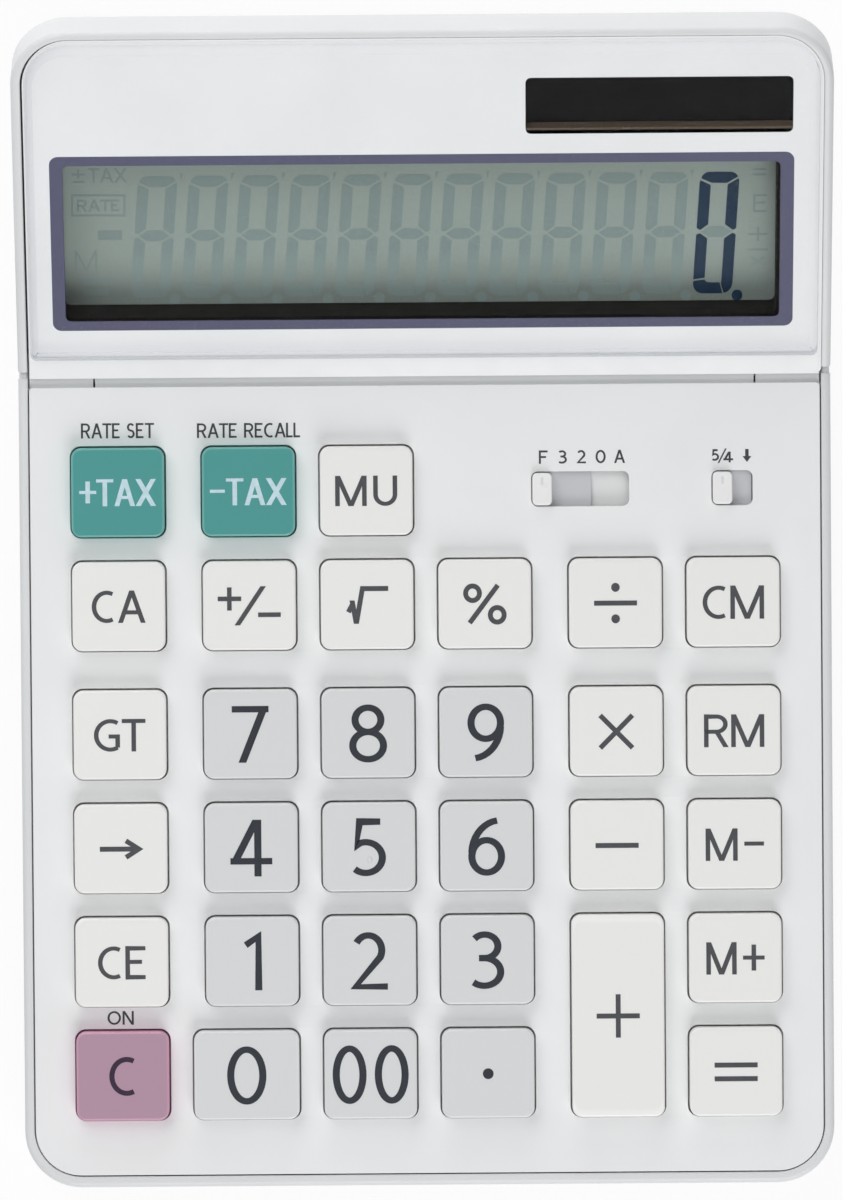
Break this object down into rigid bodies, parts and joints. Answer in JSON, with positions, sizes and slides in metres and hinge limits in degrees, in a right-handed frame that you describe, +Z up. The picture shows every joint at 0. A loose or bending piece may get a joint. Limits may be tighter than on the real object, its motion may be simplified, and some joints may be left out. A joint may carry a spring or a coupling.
{
  "type": "desktop calculator",
  "caption": "Desktop calculator with travelling keys, two slide switches, feet under a wedge body and a display head that tilts on a friction hinge.",
  "frame": {"origin": "centre of the bounding box in plan, on the desk under the feet, with the display tilted as pictured", "axes": "+X to the user's right, +Y towards the display at the rear, +Z up"},
  "size_m": [0.128, 0.1836, 0.0415],
  "materials": {
    "case_white": "fine satin, moulded",
    "cover_white": "satin, moulded",
    "key_white": "smooth, soft gloss",
    "key_pale_grey": "smooth, soft gloss",
    "key_teal": "smooth, soft gloss",
    "key_mauve": "smooth, soft gloss",
    "knob_white": "satin",
    "lens_clear": "clear, polished, printed white on its back",
    "well_dark": "matte",
    "lcd_grey": "reflective liquid crystal cell",
    "solar_black": "smooth",
    "board_green": "solder resist",
    "sheet_rubber": "moulded silicone",
    "ribbon_film": "thin film",
    "steel": "plain",
    "spring_steel": "plated",
    "cell_steel": "plated",
    "washer_plastic": "self-lubricating",
    "foot_rubber": "matte"
  },
  "bodies": {
    "casing": {"bottom_casing": "case_white", "top_cover": "cover_white", "rubber_dome_sheet": "sheet_rubber", "main_circuit_board": "board_green", "hinge_pin_left": "steel", "hinge_pin_right": "steel", "hinge_friction_washer": "washer_plastic", "button_cell": "cell_steel", "battery_contact": "spring_steel", "battery_cover": "case_white", "case_screw_front_left": "steel", "foot_front_left": "foot_rubber", "case_screw_front_right": "steel", "foot_front_right": "foot_rubber", "case_screw_rear_left": "steel", "foot_rear_left": "foot_rubber", "case_screw_rear_right": "steel", "foot_rear_right": "foot_rubber"},
    "display": {"display_rear_shell": "case_white", "display_front_cover": "cover_white", "display_lens": "lens_clear", "lcd_frame": "well_dark", "lcd_glass": "lcd_grey", "solar_cell": "solar_black", "display_ribbon_cable": "ribbon_film"},
    "key_tax_plus_body": {"key_tax_plus": "key_teal"},
    "key_tax_minus_body": {"key_tax_minus": "key_teal"},
    "key_mark_up_body": {"key_mark_up": "key_white"},
    "key_clear_all_body": {"key_clear_all": "key_white"},
    "key_sign_body": {"key_sign": "key_white"},
    "key_square_root_body": {"key_square_root": "key_white"},
    "key_percent_body": {"key_percent": "key_white"},
    "key_divide_body": {"key_divide": "key_white"},
    "key_memory_clear_body": {"key_memory_clear": "key_white"},
    "key_grand_total_body": {"key_grand_total": "key_white"},
    "key_7_body": {"key_7": "key_pale_grey"},
    "key_8_body": {"key_8": "key_pale_grey"},
    "key_9_body": {"key_9": "key_pale_grey"},
    "key_multiply_body": {"key_multiply": "key_white"},
    "key_memory_recall_body": {"key_memory_recall": "key_white"},
    "key_backspace_body": {"key_backspace": "key_white"},
    "key_4_body": {"key_4": "key_pale_grey"},
    "key_5_body": {"key_5": "key_pale_grey"},
    "key_6_body": {"key_6": "key_pale_grey"},
    "key_subtract_body": {"key_subtract": "key_white"},
    "key_memory_subtract_body": {"key_memory_subtract": "key_white"},
    "key_clear_entry_body": {"key_clear_entry": "key_white"},
    "key_1_body": {"key_1": "key_pale_grey"},
    "key_2_body": {"key_2": "key_pale_grey"},
    "key_3_body": {"key_3": "key_pale_grey"},
    "key_memory_add_body": {"key_memory_add": "key_white"},
    "key_clear_body": {"key_clear": "key_mauve"},
    "key_0_body": {"key_0": "key_pale_grey"},
    "key_00_body": {"key_00": "key_pale_grey"},
    "key_decimal_point_body": {"key_decimal_point": "key_pale_grey"},
    "key_add_body": {"key_add": "key_white"},
    "key_equals_body": {"key_equals": "key_white"},
    "decimal_switch_body": {"decimal_switch_knob": "knob_white"},
    "rounding_switch_body": {"rounding_switch_knob": "knob_white"}
  },
  "joints": [
    {"name": "display_tilt", "type": "hinge", "parent": "casing", "child": "display", "pos_m": [0, 0.0362, 0.0117], "axis": [1, 0, 0], "range_deg": [-22.5, 12], "deforming": ["display_ribbon_cable"]},
    {"name": "key_tax_plus_press", "type": "slide", "parent": "casing", "child": "key_tax_plus_body", "axis": [0, 0.0436, -0.999], "range_m": [0, 0.0016], "stiffness_N_per_m": 350, "springref_m": -0.0008, "deforming": ["rubber_dome_sheet"]},
    {"name": "key_tax_minus_press", "type": "slide", "parent": "casing", "child": "key_tax_minus_body", "axis": [0, 0.0436, -0.999], "range_m": [0, 0.0016], "stiffness_N_per_m": 350, "springref_m": -0.0008, "deforming": ["rubber_dome_sheet"]},
    {"name": "key_mark_up_press", "type": "slide", "parent": "casing", "child": "key_mark_up_body", "axis": [0, 0.0436, -0.999], "range_m": [0, 0.0016], "stiffness_N_per_m": 350, "springref_m": -0.0008, "deforming": ["rubber_dome_sheet"]},
    {"name": "key_clear_all_press", "type": "slide", "parent": "casing", "child": "key_clear_all_body", "axis": [0, 0.0436, -0.999], "range_m": [0, 0.0016], "stiffness_N_per_m": 350, "springref_m": -0.0008, "deforming": ["rubber_dome_sheet"]},
    {"name": "key_sign_press", "type": "slide", "parent": "casing", "child": "key_sign_body", "axis": [0, 0.0436, -0.999], "range_m": [0, 0.0016], "stiffness_N_per_m": 350, "springref_m": -0.0008, "deforming": ["rubber_dome_sheet"]},
    {"name": "key_square_root_press", "type": "slide", "parent": "casing", "child": "key_square_root_body", "axis": [0, 0.0436, -0.999], "range_m": [0, 0.0016], "stiffness_N_per_m": 350, "springref_m": -0.0008, "deforming": ["rubber_dome_sheet"]},
    {"name": "key_percent_press", "type": "slide", "parent": "casing", "child": "key_percent_body", "axis": [0, 0.0436, -0.999], "range_m": [0, 0.0016], "stiffness_N_per_m": 350, "springref_m": -0.0008, "deforming": ["rubber_dome_sheet"]},
    {"name": "key_divide_press", "type": "slide", "parent": "casing", "child": "key_divide_body", "axis": [0, 0.0436, -0.999], "range_m": [0, 0.0016], "stiffness_N_per_m": 350, "springref_m": -0.0008, "deforming": ["rubber_dome_sheet"]},
    {"name": "key_memory_clear_press", "type": "slide", "parent": "casing", "child": "key_memory_clear_body", "axis": [0, 0.0436, -0.999], "range_m": [0, 0.0016], "stiffness_N_per_m": 350, "springref_m": -0.0008, "deforming": ["rubber_dome_sheet"]},
    {"name": "key_grand_total_press", "type": "slide", "parent": "casing", "child": "key_grand_total_body", "axis": [0, 0.0436, -0.999], "range_m": [0, 0.0016], "stiffness_N_per_m": 350, "springref_m": -0.0008, "deforming": ["rubber_dome_sheet"]},
    {"name": "key_7_press", "type": "slide", "parent": "casing", "child": "key_7_body", "axis": [0, 0.0436, -0.999], "range_m": [0, 0.0016], "stiffness_N_per_m": 350, "springref_m": -0.0008, "deforming": ["rubber_dome_sheet"]},
    {"name": "key_8_press", "type": "slide", "parent": "casing", "child": "key_8_body", "axis": [0, 0.0436, -0.999], "range_m": [0, 0.0016], "stiffness_N_per_m": 350, "springref_m": -0.0008, "deforming": ["rubber_dome_sheet"]},
    {"name": "key_9_press", "type": "slide", "parent": "casing", "child": "key_9_body", "axis": [0, 0.0436, -0.999], "range_m": [0, 0.0016], "stiffness_N_per_m": 350, "springref_m": -0.0008, "deforming": ["rubber_dome_sheet"]},
    {"name": "key_multiply_press", "type": "slide", "parent": "casing", "child": "key_multiply_body", "axis": [0, 0.0436, -0.999], "range_m": [0, 0.0016], "stiffness_N_per_m": 350, "springref_m": -0.0008, "deforming": ["rubber_dome_sheet"]},
    {"name": "key_memory_recall_press", "type": "slide", "parent": "casing", "child": "key_memory_recall_body", "axis": [0, 0.0436, -0.999], "range_m": [0, 0.0016], "stiffness_N_per_m": 350, "springref_m": -0.0008, "deforming": ["rubber_dome_sheet"]},
    {"name": "key_backspace_press", "type": "slide", "parent": "casing", "child": "key_backspace_body", "axis": [0, 0.0436, -0.999], "range_m": [0, 0.0016], "stiffness_N_per_m": 350, "springref_m": -0.0008, "deforming": ["rubber_dome_sheet"]},
    {"name": "key_4_press", "type": "slide", "parent": "casing", "child": "key_4_body", "axis": [0, 0.0436, -0.999], "range_m": [0, 0.0016], "stiffness_N_per_m": 350, "springref_m": -0.0008, "deforming": ["rubber_dome_sheet"]},
    {"name": "key_5_press", "type": "slide", "parent": "casing", "child": "key_5_body", "axis": [0, 0.0436, -0.999], "range_m": [0, 0.0016], "stiffness_N_per_m": 350, "springref_m": -0.0008, "deforming": ["rubber_dome_sheet"]},
    {"name": "key_6_press", "type": "slide", "parent": "casing", "child": "key_6_body", "axis": [0, 0.0436, -0.999], "range_m": [0, 0.0016], "stiffness_N_per_m": 350, "springref_m": -0.0008, "deforming": ["rubber_dome_sheet"]},
    {"name": "key_subtract_press", "type": "slide", "parent": "casing", "child": "key_subtract_body", "axis": [0, 0.0436, -0.999], "range_m": [0, 0.0016], "stiffness_N_per_m": 350, "springref_m": -0.0008, "deforming": ["rubber_dome_sheet"]},
    {"name": "key_memory_subtract_press", "type": "slide", "parent": "casing", "child": "key_memory_subtract_body", "axis": [0, 0.0436, -0.999], "range_m": [0, 0.0016], "stiffness_N_per_m": 350, "springref_m": -0.0008, "deforming": ["rubber_dome_sheet"]},
    {"name": "key_clear_entry_press", "type": "slide", "parent": "casing", "child": "key_clear_entry_body", "axis": [0, 0.0436, -0.999], "range_m": [0, 0.0016], "stiffness_N_per_m": 350, "springref_m": -0.0008, "deforming": ["rubber_dome_sheet"]},
    {"name": "key_1_press", "type": "slide", "parent": "casing", "child": "key_1_body", "axis": [0, 0.0436, -0.999], "range_m": [0, 0.0016], "stiffness_N_per_m": 350, "springref_m": -0.0008, "deforming": ["rubber_dome_sheet"]},
    {"name": "key_2_press", "type": "slide", "parent": "casing", "child": "key_2_body", "axis": [0, 0.0436, -0.999], "range_m": [0, 0.0016], "stiffness_N_per_m": 350, "springref_m": -0.0008, "deforming": ["rubber_dome_sheet"]},
    {"name": "key_3_press", "type": "slide", "parent": "casing", "child": "key_3_body", "axis": [0, 0.0436, -0.999], "range_m": [0, 0.0016], "stiffness_N_per_m": 350, "springref_m": -0.0008, "deforming": ["rubber_dome_sheet"]},
    {"name": "key_memory_add_press", "type": "slide", "parent": "casing", "child": "key_memory_add_body", "axis": [0, 0.0436, -0.999], "range_m": [0, 0.0016], "stiffness_N_per_m": 350, "springref_m": -0.0008, "deforming": ["rubber_dome_sheet"]},
    {"name": "key_clear_press", "type": "slide", "parent": "casing", "child": "key_clear_body", "axis": [0, 0.0436, -0.999], "range_m": [0, 0.0016], "stiffness_N_per_m": 350, "springref_m": -0.0008, "deforming": ["rubber_dome_sheet"]},
    {"name": "key_0_press", "type": "slide", "parent": "casing", "child": "key_0_body", "axis": [0, 0.0436, -0.999], "range_m": [0, 0.0016], "stiffness_N_per_m": 350, "springref_m": -0.0008, "deforming": ["rubber_dome_sheet"]},
    {"name": "key_00_press", "type": "slide", "parent": "casing", "child": "key_00_body", "axis": [0, 0.0436, -0.999], "range_m": [0, 0.0016], "stiffness_N_per_m": 350, "springref_m": -0.0008, "deforming": ["rubber_dome_sheet"]},
    {"name": "key_decimal_point_press", "type": "slide", "parent": "casing", "child": "key_decimal_point_body", "axis": [0, 0.0436, -0.999], "range_m": [0, 0.0016], "stiffness_N_per_m": 350, "springref_m": -0.0008, "deforming": ["rubber_dome_sheet"]},
    {"name": "key_add_press", "type": "slide", "parent": "casing", "child": "key_add_body", "axis": [0, 0.0436, -0.999], "range_m": [0, 0.0016], "stiffness_N_per_m": 350, "springref_m": -0.0008, "deforming": ["rubber_dome_sheet"]},
    {"name": "key_equals_press", "type": "slide", "parent": "casing", "child": "key_equals_body", "axis": [0, 0.0436, -0.999], "range_m": [0, 0.0016], "stiffness_N_per_m": 350, "springref_m": -0.0008, "deforming": ["rubber_dome_sheet"]},
    {"name": "decimal_switch_slide", "type": "slide", "parent": "casing", "child": "decimal_switch_body", "axis": [1, 0, 0], "range_m": [0, 0.012]},
    {"name": "rounding_switch_slide", "type": "slide", "parent": "casing", "child": "rounding_switch_body", "axis": [1, 0, 0], "range_m": [0, 0.00306]}
  ]
}
